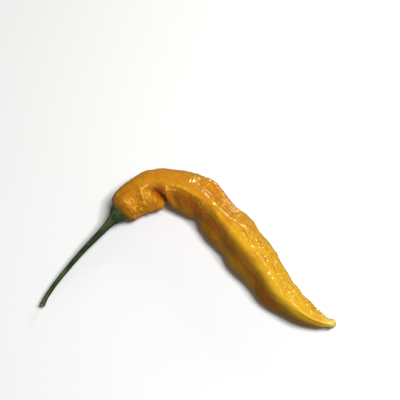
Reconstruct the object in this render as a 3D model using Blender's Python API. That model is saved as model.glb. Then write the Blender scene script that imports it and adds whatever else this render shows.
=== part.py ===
"""A long, wrinkled peach-yellow pepper lying on a table: its pod, and its calyx with the stem.

Run it with blender --background --python part.py, or from Blender's text editor.
Every named size is in millimetres, and MM turns it into Blender's metres.
The table is z = 0, +X runs towards the pod's tip, and +Y runs away from the viewer.

Each piece starts as a UV sphere. Its rings are drawn out along a centreline, from one pole to
the other, and its spokes become the angle round that centreline: 0 degrees is the side away
from the viewer, 90 the top, 180 the side towards the viewer and 270 the underside. A place on
the pod's skin is given as the distance down the centreline from the calyx and that angle.
"""

from collections import namedtuple

import bmesh
import bpy
import numpy as np
from mathutils import Vector, noise

MM = 0.001
COLLECTION = "sugar_rush_peach_pepper"

Station = namedtuple("Station", "x y z side up")
Fold = namedtuple("Fold", "place angle rise width spread slant")
Ridge = namedtuple("Ridge", "start end first_angle last_angle rise spread")
Face = namedtuple("Face", "start end first_edge last_edge swell share rounding")

# The pod's centreline from the calyx to the tip, with the half width and half height there
POD_STATIONS = (
    Station(-28.8, 14.1, 6.9, 6.4, 6.4),
    Station(-25.9, 17.3, 6.9, 6.9, 6.8),
    Station(-21.0, 21.3, 7.4, 7.3, 7.2),
    Station(-16.0, 24.3, 7.8, 7.8, 7.4),
    Station(-9.1, 26.6, 7.7, 7.2, 7.0),
    Station(-4.5, 25.6, 7.7, 7.6, 7.2),
    Station(0.6, 23.2, 7.7, 8.5, 7.6),
    Station(4.6, 20.9, 7.5, 8.8, 7.7),
    Station(11.7, 13.2, 7.6, 8.4, 7.6),
    Station(19.3, 4.1, 7.5, 8.8, 8.0),
    Station(25.7, -4.9, 7.8, 9.2, 8.0),
    Station(32.4, -14.5, 7.1, 7.9, 7.3),
    Station(35.8, -19.8, 6.5, 7.6, 6.9),
    Station(40.8, -24.3, 6.1, 6.4, 6.1),
    Station(45.6, -28.2, 5.4, 5.3, 5.2),
    Station(50.6, -30.8, 4.6, 4.1, 4.1),
    Station(55.0, -32.2, 3.9, 2.6, 2.8),
    Station(59.5, -33.0, 3.7, 1.7, 1.9),
)
POD_RINGS = 96
POD_SPOKES = 48
# Where the rings crowd together: how many times more there are, and over what distance
BASE_CROWD = (5.0, 1.6)
TIP_CROWD = (4.0, 1.2)
KINK_CROWD = (1.0, 6.0)
CROWD_STEPS = 2000

# How the two ends round off: the length of the rounding, and how square it is
BASE_DOME = 4.0
BASE_SQUARENESS = 2.2
TIP_DOME = 2.2
TIP_SQUARENESS = 2.0

# Three lobes run the whole length, a third of a turn apart. The upper one's crest faces the
# viewer near the calyx and turns up past the bend: its angle at each distance.
LOBE_SHARE = 0.085
CREST_LINE = ((0.0, 100.0), (15.0, 140.0), (30.0, 123.0), (44.0, 107.0), (95.0, 106.0), (118.0, 126.0))
LOBES = 3

# Flattened sides between two edges, each given as its angle at each distance. The swell is how
# far the edges stand out past the round body, the share is how flat the side is, up to 1, and
# the rounding is how wide its edges are rounded at each distance. A side ends over FACE_FADE.
BODY_CREST = (
    (25.0, 121.0),
    (31.0, 112.0),
    (38.0, 112.0),
    (44.0, 106.0),
    (48.0, 101.0),
    (53.0, 108.0),
    (62.0, 111.0),
    (72.0, 109.0),
    (80.0, 109.0),
    (88.0, 111.0),
    (95.0, 129.0),
    (101.0, 142.0),
    (106.0, 150.0),
    (114.0, 156.0),
)
BODY_FOOT = ((25.0, 204.0), (114.0, 204.0))
NECK_BROW = ((2.0, 62.0), (9.0, 74.0), (15.0, 88.0), (22.0, 96.0))
NECK_FOOT = ((2.0, 200.0), (22.0, 206.0))
BODY_ROUNDING = ((21.0, 0.35), (64.0, 0.35), (90.0, 0.90), (113.0, 1.10))
NECK_ROUNDING = ((3.0, 0.5), (22.0, 0.5))
FACES = (
    Face(21.0, 113.0, BODY_CREST, BODY_FOOT, 0.35, 0.75, BODY_ROUNDING),
    Face(3.0, 22.0, NECK_BROW, NECK_FOOT, 0.10, 0.55, NECK_ROUNDING),
)
FACE_FADE = 5.0
FACE_LEAST_COSINE = 0.2

# Ridges and furrows that run along the pod. A negative rise is a furrow.
RIDGES = (
    Ridge(30.0, 112.0, 112.0, 110.0, 0.30, 12.0),
    Ridge(33.0, 61.0, 72.0, 70.0, -0.85, 12.0),
    Ridge(34.0, 60.0, 38.0, 30.0, 0.85, 12.0),
    Ridge(58.0, 100.0, 80.0, 80.0, -0.30, 9.0),
    Ridge(1.0, 19.0, 38.0, 92.0, -0.40, 11.0),
    Ridge(58.0, 104.0, 58.0, 60.0, 0.40, 10.0),
    Ridge(40.0, 108.0, 228.0, 236.0, -0.35, 12.0),
)
RIDGE_FADE = 6.0

# Folds that cross the pod, from the calyx down. A negative rise is a crease or a waist. A slant
# carries a fold down the pod as it turns, by that many millimetres a degree within SLANT_REACH.
NECK_FOLDS = (
    Fold(4.6, 128.0, 0.30, 0.8, 30.0, 0.0),
    Fold(7.4, 138.0, 0.30, 0.9, 26.0, 0.01),
    Fold(11.8, 112.0, 0.80, 1.0, 34.0, -0.023),
    Fold(15.4, 108.0, -0.55, 1.5, 28.0, -0.07),
    Fold(16.4, 160.0, 0.70, 2.0, 26.0, 0.02),
    Fold(12.2, 192.0, 1.75, 4.2, 34.0, 0.0),
    Fold(18.2, 204.0, 2.00, 3.2, 26.0, 0.0),
    Fold(8.0, 10.0, 0.35, 2.5, 34.0, 0.0),
    Fold(13.3, 10.0, -0.35, 1.6, 34.0, 0.0),
)
KINK_FOLDS = (
    Fold(25.1, 192.0, -2.5, 1.2, 24.0, 0.08),
    Fold(20.0, 164.0, -3.4, 2.6, 24.0, 0.06),
    Fold(17.9, 133.0, -2.7, 2.6, 21.0, 0.03),
    Fold(17.4, 106.0, -0.9, 2.4, 18.0, 0.0),
    Fold(28.8, 186.0, 1.4, 2.6, 30.0, 0.08),
    Fold(24.6, 142.0, 1.2, 2.6, 30.0, 0.03),
    Fold(25.4, 10.0, -0.55, 2.6, 36.0, 0.0),
)
BODY_FOLDS = (
    Fold(33.6, 186.0, 0.80, 3.0, 40.0, 0.0),
    Fold(44.9, 204.0, -1.90, 2.4, 25.0, 0.0),
    Fold(54.4, 192.0, 0.75, 3.4, 36.0, 0.0),
    Fold(63.8, 194.0, -0.65, 2.6, 32.0, 0.0),
    Fold(70.5, 192.0, 0.22, 2.4, 34.0, 0.0),
    Fold(79.0, 194.0, -0.28, 3.2, 34.0, 0.0),
    Fold(38.0, 14.0, 0.60, 2.4, 30.0, 0.0),
    Fold(36.0, 34.0, -0.35, 1.6, 26.0, 0.0),
    Fold(39.9, 40.0, 0.35, 1.3, 26.0, -0.05),
    Fold(58.6, 12.0, 0.75, 3.4, 36.0, 0.0),
    Fold(62.6, 20.0, 0.45, 2.4, 36.0, 0.02),
    Fold(57.4, 52.0, 0.35, 1.1, 30.0, 0.02),
    Fold(72.0, 22.0, 0.35, 2.4, 36.0, 0.0),
    Fold(79.8, 40.0, -0.40, 1.2, 34.0, 0.015),
    Fold(78.0, 12.0, 0.45, 3.0, 34.0, 0.0),
    Fold(99.5, 20.0, -0.60, 2.2, 40.0, 0.0),
    Fold(104.0, 20.0, 0.25, 1.8, 40.0, 0.0),
    Fold(114.0, 210.0, -0.50, 1.6, 50.0, 0.0),
    Fold(114.5, 20.0, -0.50, 2.6, 50.0, 0.0),
    Fold(117.0, 215.0, 0.30, 1.2, 60.0, 0.0),
)
SLANT_REACH = (-90.0, 45.0)

# Wrinkles that cross the far side of the body, over shallow dimples everywhere
WRINKLE_HEIGHT = 0.30
WRINKLE_ALONG = 2.1
WRINKLE_ROUND = 6.5
WRINKLE_ANGLE = 35.0
WRINKLE_SPREAD = 50.0
WRINKLE_LEAST = 0.2
DIMPLE_HEIGHT = 0.30
DIMPLE_SIZE = 7.0

# The stem's centreline from the middle of the calyx to the cut end, with the radius there
STEM_STATIONS = (
    Station(-28.8, 14.1, 6.9, 1.65, 1.65),
    Station(-31.7, 10.9, 6.9, 1.65, 1.65),
    Station(-36.0, 5.9, 6.5, 1.42, 1.42),
    Station(-42.4, -1.0, 5.5, 1.15, 1.15),
    Station(-49.2, -9.2, 4.1, 0.98, 0.98),
    Station(-55.0, -17.0, 2.9, 0.90, 0.90),
    Station(-57.4, -20.9, 2.4, 0.92, 0.92),
    Station(-59.0, -24.9, 2.2, 1.05, 1.05),
)
STALK_SPOKES = 30
STEM_RINGS = 24
STEM_RIB_SHARE = 0.09
STEM_END_ROUND = 0.5
STEM_END_RADIUS = 0.62

# The calyx is a shallow cup with five teeth, set on the pod's smooth base with a hair's gap. It
# spreads further on one side, by CALYX_LEAN towards CALYX_LEAN_ANGLE.
CALYX_SEAT = 1.0
CALYX_GAP = 0.3
CALYX_EDGE = 0.55
CALYX_RADIUS = 3.9
CALYX_TEETH = 5
CALYX_TOOTH = 0.5
CALYX_TOOTH_ANGLE = 196.0
CALYX_LEAN = 0.9
CALYX_LEAN_ANGLE = 200.0
CALYX_RIM_FADE = 0.72
CALYX_INNER_RINGS = 4
# Its outside, as distance down the stem from the pod and radius
CALYX_PROFILE = ((0.5, 3.85), (1.5, 3.45), (2.5, 2.85), (3.6, 2.2), (4.8, 1.8), (6.6, 1.6))

# Colour, as linear red, green and blue, and roughness
POD_SKIN = ("pepper_skin", (0.78, 0.36, 0.035), 0.32)
GREEN_STALK = ("green_stalk", (0.035, 0.085, 0.018), 0.5)


def clear_scene():
    """Removes whatever the file holds, and hands back an empty collection for the pepper."""
    for obj in list(bpy.data.objects):
        bpy.data.objects.remove(obj)
    collection = bpy.data.collections.new(COLLECTION)
    bpy.context.scene.collection.children.link(collection)
    return collection


def bell(x, spread):
    """1 at x = 0, falling smoothly to nothing over a few spreads."""
    return np.exp(-((x / spread) ** 2))


def smooth_step(x, low, high):
    """0 below low, 1 above high, and a smooth climb between them."""
    t = np.clip((x - low) / (high - low), 0.0, 1.0)
    return t * t * (3.0 - 2.0 * t)


def angle_from(theta, centre):
    """Degrees from centre to theta, the short way round."""
    return (np.degrees(theta) - centre + 180.0) % 360.0 - 180.0


def station_distances(stations):
    """Distance of each station along the line that joins them."""
    points = np.array([station[:3] for station in stations])
    steps = np.linalg.norm(np.diff(points, axis=0), axis=1)
    return np.concatenate(([0.0], np.cumsum(steps)))


def smooth_through(knots, values, at):
    """A smooth curve through values at knots, read at each distance in at."""
    slopes = np.gradient(values, knots, axis=0)
    i = np.clip(np.searchsorted(knots, at) - 1, 0, len(knots) - 2)
    gap = (knots[i + 1] - knots[i])[:, None]
    t = np.clip((at - knots[i])[:, None] / gap, 0.0, 1.0)
    return (
        (1 + 2 * t) * (1 - t) ** 2 * values[i]
        + t * (1 - t) ** 2 * gap * slopes[i]
        + t * t * (3 - 2 * t) * values[i + 1]
        + t * t * (t - 1) * gap * slopes[i + 1]
    )


def frames_along(stations, at):
    """Centre, direction, side, up and the two radii of the sweep at each distance in at."""
    knots = station_distances(stations)
    values = np.array(stations)
    read = smooth_through(knots, values, at)
    step = 0.05
    ahead = smooth_through(knots, values, np.clip(at + step, 0.0, knots[-1]))
    behind = smooth_through(knots, values, np.clip(at - step, 0.0, knots[-1]))
    direction = ahead[:, :3] - behind[:, :3]
    direction /= np.linalg.norm(direction, axis=1)[:, None]
    side = np.cross((0.0, 0.0, 1.0), direction)
    side /= np.linalg.norm(side, axis=1)[:, None]
    up = np.cross(direction, side)
    return read[:, :3], direction, side, up, read[:, 3], read[:, 4]


def rounded(share, squareness):
    """Radius share of a rounded end, from 0 at its pole to 1 where the rounding stops."""
    inward = np.clip(1.0 - share, 0.0, 1.0)
    return (1.0 - inward**squareness) ** (1.0 / squareness)


def pod_length():
    """Length of the pod's centreline."""
    return station_distances(POD_STATIONS)[-1]


def pod_ring_distances():
    """Where the pod's rings lie: evenly, but closer at the two rounded ends and at the kink."""
    length = pod_length()
    kink = KINK_FOLDS[0].place
    fine = np.linspace(0.0, length, CROWD_STEPS)
    density = np.ones(CROWD_STEPS)
    for place, (extra, reach) in ((0.0, BASE_CROWD), (length, TIP_CROWD), (kink, KINK_CROWD)):
        density += extra * bell(fine - place, reach)
    share = np.cumsum(density)
    share = (share - share[0]) / (share[-1] - share[0])
    return np.interp(np.linspace(0.0, 1.0, POD_RINGS + 1), share, fine)


def read_line(line, s):
    """What a line along the pod gives, such as its angle, at each distance."""
    table = np.array(line)
    return smooth_through(table[:, 0], table[:, 1:], np.clip(s, table[0, 0], table[-1, 0]))[:, 0]


def lobes(s, theta, radius):
    """Relief of the three lobes."""
    turned = angle_from(theta, read_line(CREST_LINE, s))
    return LOBE_SHARE * radius * np.cos(np.radians(LOBES * turned))


def face_relief(s, theta, radius, relief, face):
    """How much a flattened side takes off the body, whose relief so far is given."""
    first, last = (np.radians(read_line(edge, s)) for edge in (face.first_edge, face.last_edge))
    edge_radius = radius + face.swell
    flat = edge_radius * np.cos((last - first) / 2.0)
    turned = np.radians(angle_from(theta, np.degrees(first + last) / 2.0))
    plane = flat / np.maximum(np.cos(turned), FACE_LEAST_COSINE)
    rounding = read_line(face.rounding, s)
    past = (radius + relief - plane) / rounding
    cut = rounding * np.logaddexp(0.0, past) * (np.abs(turned) < np.pi / 2.0)
    ends = smooth_step(s, face.start, face.start + FACE_FADE)
    ends *= 1.0 - smooth_step(s, face.end - FACE_FADE, face.end)
    return -face.share * ends * cut


def ridge_relief(s, theta, ridge):
    """One ridge or furrow along the pod, fading out at both ends."""
    share = np.clip((s - ridge.start) / (ridge.end - ridge.start), 0.0, 1.0)
    angle = ridge.first_angle + (ridge.last_angle - ridge.first_angle) * share
    ends = smooth_step(s, ridge.start, ridge.start + RIDGE_FADE)
    ends *= 1.0 - smooth_step(s, ridge.end - RIDGE_FADE, ridge.end)
    return ridge.rise * ends * bell(angle_from(theta, angle), ridge.spread)


def fold_relief(s, theta, fold):
    """One fold or crease across the pod, fading out round it."""
    turned = angle_from(theta, fold.angle)
    along = s - fold.place - fold.slant * np.clip(turned, *SLANT_REACH)
    return fold.rise * bell(along, fold.width) * bell(turned, fold.spread)


def noise_at(points):
    """Smooth noise from -1 to 1 at each point."""
    return np.array([noise.noise(Vector(point)) for point in points])


def wrinkles(s, theta, radius):
    """Wrinkles that cross the far side, over shallow dimples everywhere."""
    across = radius * np.cos(theta)
    upward = radius * np.sin(theta)
    crossing = np.column_stack((s / WRINKLE_ALONG, across / WRINKLE_ROUND, upward / WRINKLE_ROUND))
    dimpled = np.column_stack((s, across, upward)) / DIMPLE_SIZE
    rough = WRINKLE_LEAST + (1.0 - WRINKLE_LEAST) * bell(angle_from(theta, WRINKLE_ANGLE), WRINKLE_SPREAD)
    return WRINKLE_HEIGHT * rough * noise_at(crossing) + DIMPLE_HEIGHT * noise_at(dimpled)


def pod_surface(s, theta):
    """Points of the pod's skin at distances s and angles theta, in millimetres."""
    centre, _, side, up, half_width, half_height = frames_along(POD_STATIONS, s)
    end = rounded(s / BASE_DOME, BASE_SQUARENESS) * rounded((pod_length() - s) / TIP_DOME, TIP_SQUARENESS)
    radius = (half_width + half_height) / 2.0
    relief = lobes(s, theta, radius)
    for face in FACES:
        relief += face_relief(s, theta, radius, relief, face)
    relief += wrinkles(s, theta, radius)
    relief += sum(ridge_relief(s, theta, ridge) for ridge in RIDGES)
    relief += sum(fold_relief(s, theta, fold) for fold in NECK_FOLDS + KINK_FOLDS + BODY_FOLDS)
    relief *= smooth_step(s, CALYX_SEAT, 3.0 * CALYX_SEAT)
    swollen = (1.0 + relief / radius) * end
    points = centre + side * (half_width * swollen * np.cos(theta))[:, None]
    points += up * (half_height * swollen * np.sin(theta))[:, None]
    points[:, 2] = np.maximum(points[:, 2], 0.0)
    return points


def dome_depth(radius):
    """How far the pod's base falls away from its pole at this radius."""
    share = np.clip(radius / POD_STATIONS[0].side, 0.0, 1.0)
    return BASE_DOME * (1.0 - (1.0 - share**BASE_SQUARENESS) ** (1.0 / BASE_SQUARENESS))


def stalk_rings():
    """Rings of the stalk from the cup's middle, round its edge, and down the stem to its cut end.

    Each is (distance down the stem from the pod's pole, radius or None for the stem's own,
    share of the rim's teeth and lean that it has).
    """
    rings = [(CALYX_GAP, 0.0, 0.0)]
    for i in range(1, CALYX_INNER_RINGS + 1):
        radius = CALYX_RADIUS * i / CALYX_INNER_RINGS
        rings.append((CALYX_GAP - dome_depth(radius), radius, (i / CALYX_INNER_RINGS) ** 4))
    rim = rings[-1][0]
    rings.append((rim + CALYX_EDGE / 2.0, CALYX_RADIUS + CALYX_EDGE / 3.0, 1.0))
    for i, (down, radius) in enumerate(CALYX_PROFILE):
        rings.append((down, radius, CALYX_RIM_FADE ** (i + 1)))
    stem_length = station_distances(STEM_STATIONS)[-1]
    for down in np.linspace(CALYX_PROFILE[-1][0], stem_length - STEM_END_ROUND, STEM_RINGS)[1:]:
        rings.append((down, None, 0.0))
    rings.append((stem_length, STEM_END_RADIUS, 0.0))
    rings.append((stem_length, 0.0, 0.0))
    return rings


def stalk_surface(ring, theta):
    """Points of the stalk at each ring number and angle, in millimetres."""
    rings = stalk_rings()
    down = np.array([rings[i][0] for i in ring])
    rim = np.array([rings[i][2] for i in ring])
    centre, direction, side, up, stem_radius, _ = frames_along(STEM_STATIONS, np.maximum(down, 0.0))
    centre = centre + direction * np.minimum(down, 0.0)[:, None]
    radius = np.array([own if rings[i][1] is None else rings[i][1] for own, i in zip(stem_radius, ring)])
    ribs = np.cos(CALYX_TEETH * (theta - np.radians(CALYX_TOOTH_ANGLE)))
    radius = radius * (1.0 + STEM_RIB_SHARE * ribs * (1.0 - rim) * (down > CALYX_GAP))
    lean = CALYX_LEAN * np.cos(theta - np.radians(CALYX_LEAN_ANGLE))
    wide = radius + rim * (lean + CALYX_TOOTH * np.clip(ribs, 0.0, 1.0) ** 2)
    points = centre + side * (wide * np.cos(theta))[:, None] + up * (wide * np.sin(theta))[:, None]
    return points - direction * (dome_depth(wide) - dome_depth(radius))[:, None]


def drawn_out_sphere(name, rings, spokes, place):
    """A UV sphere whose vertices are moved to place(ring numbers, angles), as a mesh."""
    bm = bmesh.new()
    bmesh.ops.create_uvsphere(bm, u_segments=spokes, v_segments=rings, radius=1.0)
    start = np.array([vertex.co for vertex in bm.verts])
    ring = np.rint((1.0 - np.arccos(np.clip(start[:, 2], -1.0, 1.0)) / np.pi) * rings).astype(int)
    theta = np.arctan2(start[:, 1], start[:, 0])
    for vertex, point in zip(bm.verts, place(ring, theta)):
        vertex.co = Vector(point) * MM
    mesh = bpy.data.meshes.new(name)
    bm.to_mesh(mesh)
    bm.free()
    mesh.shade_smooth()
    return mesh


def finish_of(name, colour, roughness):
    """A plain material in the piece's colour."""
    material = bpy.data.materials.new(name)
    material.use_nodes = True
    shader = material.node_tree.nodes["Principled BSDF"]
    shader.inputs["Base Color"].default_value = (*colour, 1.0)
    shader.inputs["Roughness"].default_value = roughness
    shader.inputs["Metallic"].default_value = 0.0
    material.diffuse_color = (*colour, 1.0)
    return material


def add_piece(collection, name, mesh, finish):
    """Puts a mesh in the collection as one named object with its own material."""
    mesh.materials.append(finish_of(*finish))
    piece = bpy.data.objects.new(name, mesh)
    collection.objects.link(piece)
    return piece


def make_pod(collection):
    """The pod: one fleshy body from its base under the calyx to its blunt tip."""
    distances = pod_ring_distances()

    def place(ring, theta):
        return pod_surface(distances[ring], theta)

    return add_piece(collection, "pod", drawn_out_sphere("pod", POD_RINGS, POD_SPOKES, place), POD_SKIN)


def make_stalk(collection):
    """The stalk: the calyx cup and the stem, which grew as one green piece."""
    mesh = drawn_out_sphere("stalk", len(stalk_rings()) - 1, STALK_SPOKES, stalk_surface)
    return add_piece(collection, "stalk", mesh, GREEN_STALK)


def main():
    """Builds the pepper."""
    collection = clear_scene()
    make_pod(collection)
    make_stalk(collection)


main()
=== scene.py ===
"""The looks of a long, wrinkled, peach-yellow pepper: its fleshy pod and its green stalk.

Sizes are named in millimetres and degrees, and MM turns a length into Blender's metres.
Both pieces are modelled straight, along +X, as a ringed cage that is subdivided. Their relief is
raised while they are straight, and then they are bent along their centreline. The angle round a
centreline is 0 on the side away from the viewer, 90 on top, 180 towards the viewer and 270
underneath. A distance down the pod or the stem is measured from the calyx.
"""

import logging
import math
from dataclasses import dataclass
from enum import Enum
from typing import Any

import bpy
import numpy as np
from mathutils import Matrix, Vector, noise


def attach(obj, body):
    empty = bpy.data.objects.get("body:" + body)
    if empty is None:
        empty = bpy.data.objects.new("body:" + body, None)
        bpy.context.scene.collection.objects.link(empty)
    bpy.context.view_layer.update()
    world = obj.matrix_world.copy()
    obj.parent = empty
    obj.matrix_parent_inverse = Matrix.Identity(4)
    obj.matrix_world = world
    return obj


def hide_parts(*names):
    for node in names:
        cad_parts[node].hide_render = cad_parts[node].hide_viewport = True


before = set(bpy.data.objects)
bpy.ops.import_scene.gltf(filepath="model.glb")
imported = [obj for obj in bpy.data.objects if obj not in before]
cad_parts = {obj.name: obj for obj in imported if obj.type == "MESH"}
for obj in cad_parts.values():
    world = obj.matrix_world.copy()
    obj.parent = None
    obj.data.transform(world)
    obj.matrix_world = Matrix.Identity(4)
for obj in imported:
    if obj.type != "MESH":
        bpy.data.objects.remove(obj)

MM = 0.001
# What a mesh keeps for each point: its place before the bend, its fine relief, and how much light or
# shade is painted on its skin
STRAIGHT = "straight"
RELIEF = "relief"
PAINTED_LIGHT_AND_SHADE = "painted_light_and_shade"
# A fold's slant holds between these turns from its middle, in degrees
SLANT_REACH = (-90.0, 45.0)
# How steeply a pad falls away from its middle
PAD_STEEPNESS = 2.4
# What turns the size of plain noise, mostly under 0.45, into about 0 to 1
FOLDED_NOISE_SHARE = 2.2
log = logging.getLogger("pepper")

Values = np.ndarray
Colour = tuple[float, float, float]
# A low and a high limit, or a place and what is read there
Pair = tuple[float, float]
Line = tuple[Pair, ...]


class Grain(Enum):
    """How a field of wrinkles rises."""

    SWELLS = "round swells and hollows"
    CREASES = "swells parted by sharp creases"
    PADS = "small round pads parted by creases"


@dataclass(frozen=True)
class Station:
    """A point of a centreline, with the half width and half height of the body there."""

    x: float
    y: float
    z: float
    side: float
    up: float


POD_STATIONS = (
    Station(-28.8, 14.1, 6.9, 6.4, 6.4),
    Station(-25.9, 17.3, 6.9, 6.9, 6.8),
    Station(-21.0, 21.3, 7.4, 7.3, 7.2),
    Station(-16.0, 24.3, 7.8, 7.8, 7.4),
    Station(-9.1, 26.6, 7.7, 7.2, 7.0),
    Station(-4.5, 25.6, 7.7, 7.6, 7.2),
    Station(0.6, 23.2, 7.7, 8.5, 7.6),
    Station(4.6, 20.9, 7.5, 8.8, 7.7),
    Station(11.7, 13.2, 7.6, 8.4, 7.6),
    Station(19.3, 4.1, 7.5, 8.8, 8.0),
    Station(25.7, -4.9, 7.8, 9.2, 8.0),
    Station(32.4, -14.5, 7.1, 7.9, 7.3),
    Station(35.8, -19.8, 6.5, 7.6, 6.9),
    Station(40.8, -24.3, 6.1, 6.4, 6.1),
    Station(45.6, -28.2, 5.4, 5.3, 5.2),
    Station(50.6, -30.8, 4.6, 4.1, 4.1),
    Station(55.0, -32.2, 3.9, 2.6, 2.8),
    Station(59.5, -33.0, 3.7, 1.7, 1.9),
)
STEM_STATIONS = (
    Station(-28.8, 14.1, 6.9, 1.65, 1.65),
    Station(-31.7, 10.9, 6.9, 1.65, 1.65),
    Station(-36.0, 5.9, 6.5, 1.42, 1.42),
    Station(-42.4, -1.0, 5.5, 1.15, 1.15),
    Station(-49.2, -9.2, 4.1, 0.98, 0.98),
    Station(-55.0, -17.0, 2.9, 0.90, 0.90),
    Station(-57.4, -20.9, 2.4, 0.92, 0.92),
    Station(-59.0, -24.9, 2.2, 1.05, 1.05),
)


def bell(x: Values, spread: float) -> Values:
    """1 at x = 0, falling smoothly to nothing over a few spreads."""
    return np.exp(-((x / spread) ** 2))


def smooth_step(x: Values, low: float, high: float) -> Values:
    """0 below low, 1 above high, and a smooth climb between them."""
    t = np.clip((x - low) / (high - low), 0.0, 1.0)
    return t * t * (3.0 - 2.0 * t)


def faded(s: Values, start: float, end: float, fade: float) -> Values:
    """1 between two distances, falling smoothly to 0 at both over the fade."""
    return smooth_step(s, start, start + fade) * (1.0 - smooth_step(s, end - fade, end))


def angle_from(theta: Values, centre: Values | float) -> Values:
    """Degrees from centre to theta, the short way round."""
    return (np.degrees(theta) - centre + 180.0) % 360.0 - 180.0


def noise_at(points: Values) -> Values:
    """Smooth noise from -1 to 1 at each row of points."""
    return np.array([noise.noise(Vector(point)) for point in points])


def pads_at(points: Values) -> Values:
    """Height of scattered round pads at each row of points, 1 on a pad and about 0 between."""
    gaps = np.array([noise.voronoi(Vector(point))[0][0] for point in points])
    return 1.0 - PAD_STEEPNESS * gaps**2


def rounded(share: Values, squareness: float) -> Values:
    """Radius share of a rounded end, from 0 at its pole to 1 where the rounding stops."""
    inward = np.clip(1.0 - share, 0.0, 1.0)
    return (1.0 - inward**squareness) ** (1.0 / squareness)


def smooth_through(knots: Values, values: Values, at: Values) -> Values:
    """Reads a smooth curve.

    Args:
        knots: The distances at which the curve is given.
        values: One row of values at each knot.
        at: The distances to read it at.

    Returns:
        One row of values for each distance in at.
    """
    slopes = np.gradient(values, knots, axis=0)
    i = np.clip(np.searchsorted(knots, at) - 1, 0, len(knots) - 2)
    gap = (knots[i + 1] - knots[i])[:, None]
    t = np.clip((at - knots[i])[:, None] / gap, 0.0, 1.0)
    return (
        (1 + 2 * t) * (1 - t) ** 2 * values[i]
        + t * (1 - t) ** 2 * gap * slopes[i]
        + t * t * (3 - 2 * t) * values[i + 1]
        + t * t * (t - 1) * gap * slopes[i + 1]
    )


def read_line(line: Line, s: Values) -> Values:
    """What a line along the pod gives, such as its angle, at each distance."""
    table = np.array(line)
    return smooth_through(table[:, 0], table[:, 1:], np.clip(s, table[0, 0], table[-1, 0]))[:, 0]


@dataclass(frozen=True)
class Centreline:
    """A smooth line through stations, which a straight body is bent along."""

    stations: tuple[Station, ...]

    def table(self) -> Values:
        """The stations as rows of x, y, z, half width and half height."""
        return np.array([(p.x, p.y, p.z, p.side, p.up) for p in self.stations])

    def knots(self) -> Values:
        """Distance of each station along the line that joins them."""
        steps = np.linalg.norm(np.diff(self.table()[:, :3], axis=0), axis=1)
        return np.concatenate(([0.0], np.cumsum(steps)))

    def length(self) -> float:
        """Length of the whole line."""
        return float(self.knots()[-1])

    def radii(self, at: Values) -> tuple[Values, Values]:
        """Half width and half height of the body at each distance."""
        read = smooth_through(self.knots(), self.table()[:, 3:], at)
        return read[:, 0], read[:, 1]

    def bend(self, straight: Values) -> Values:
        """Bends points of the straight body along the line.

        Args:
            straight: Rows of distance down the line, offset to the far side and offset up.

        Returns:
            The same points in the part's own frame.
        """
        knots, table, step = self.knots(), self.table()[:, :3], 0.05
        at = np.clip(straight[:, 0], 0.0, knots[-1])
        centre = smooth_through(knots, table, at)
        ahead = smooth_through(knots, table, np.clip(at + step, 0.0, knots[-1]))
        behind = smooth_through(knots, table, np.clip(at - step, 0.0, knots[-1]))
        direction = ahead - behind
        direction /= np.linalg.norm(direction, axis=1)[:, None]
        side = np.cross((0.0, 0.0, 1.0), direction)
        side /= np.linalg.norm(side, axis=1)[:, None]
        up = np.cross(direction, side)
        past = straight[:, 0:1] - at[:, None]
        return centre + direction * past + side * straight[:, 1:2] + up * straight[:, 2:3]


@dataclass(frozen=True)
class Fold:
    """A fold that crosses the pod. A negative rise makes it a crease or a waist."""

    place: float
    angle: float
    rise: float
    width: float
    spread: float
    slant: float = 0.0

    def relief(self, s: Values, theta: Values) -> Values:
        """Height of the fold at distances s and angles theta, in millimetres."""
        turned = angle_from(theta, self.angle)
        along = s - self.place - self.slant * np.clip(turned, *SLANT_REACH)
        return self.rise * bell(along, self.width) * bell(turned, self.spread)


@dataclass(frozen=True)
class Ridge:
    """A ridge that runs along the pod. A negative rise makes it a furrow."""

    start: float
    end: float
    first_angle: float
    last_angle: float
    rise: float
    spread: float
    fade: float = 6.0

    def relief(self, s: Values, theta: Values) -> Values:
        """Height of the ridge at distances s and angles theta, in millimetres."""
        share = np.clip((s - self.start) / (self.end - self.start), 0.0, 1.0)
        angle = self.first_angle + (self.last_angle - self.first_angle) * share
        ends = faded(s, self.start, self.end, self.fade)
        return self.rise * ends * bell(angle_from(theta, angle), self.spread)


@dataclass(frozen=True)
class Face:
    """A flattened side of the pod, between two edges that run along it.

    The edges stand out by swell, and share is how much of the rounder body the flat side takes off.
    """

    start: float
    end: float
    first_edge: Line
    last_edge: Line
    swell: float
    share: float
    rounding: Line
    fade: float = 5.0
    # Keeps the flat side's plane from running far out towards its edges
    least_cosine: float = 0.2

    def relief(self, s: Values, theta: Values, radius: Values, height: Values) -> Values:
        """Height that the flat side takes off the body.

        Args:
            s: Distances down the pod.
            theta: Angles round it.
            radius: The body's radius at each place.
            height: Its relief so far.

        Returns:
            A height of nothing or less for each place, in millimetres.
        """
        first, last = (np.radians(read_line(edge, s)) for edge in (self.first_edge, self.last_edge))
        flat = (radius + self.swell) * np.cos((last - first) / 2.0)
        turned = np.radians(angle_from(theta, np.degrees(first + last) / 2.0))
        plane = flat / np.maximum(np.cos(turned), self.least_cosine)
        rounding = read_line(self.rounding, s)
        past = (radius + height - plane) / rounding
        cut = rounding * np.logaddexp(0.0, past) * (np.abs(turned) < np.pi / 2.0)
        return -self.share * faded(s, self.start, self.end, self.fade) * cut


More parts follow.
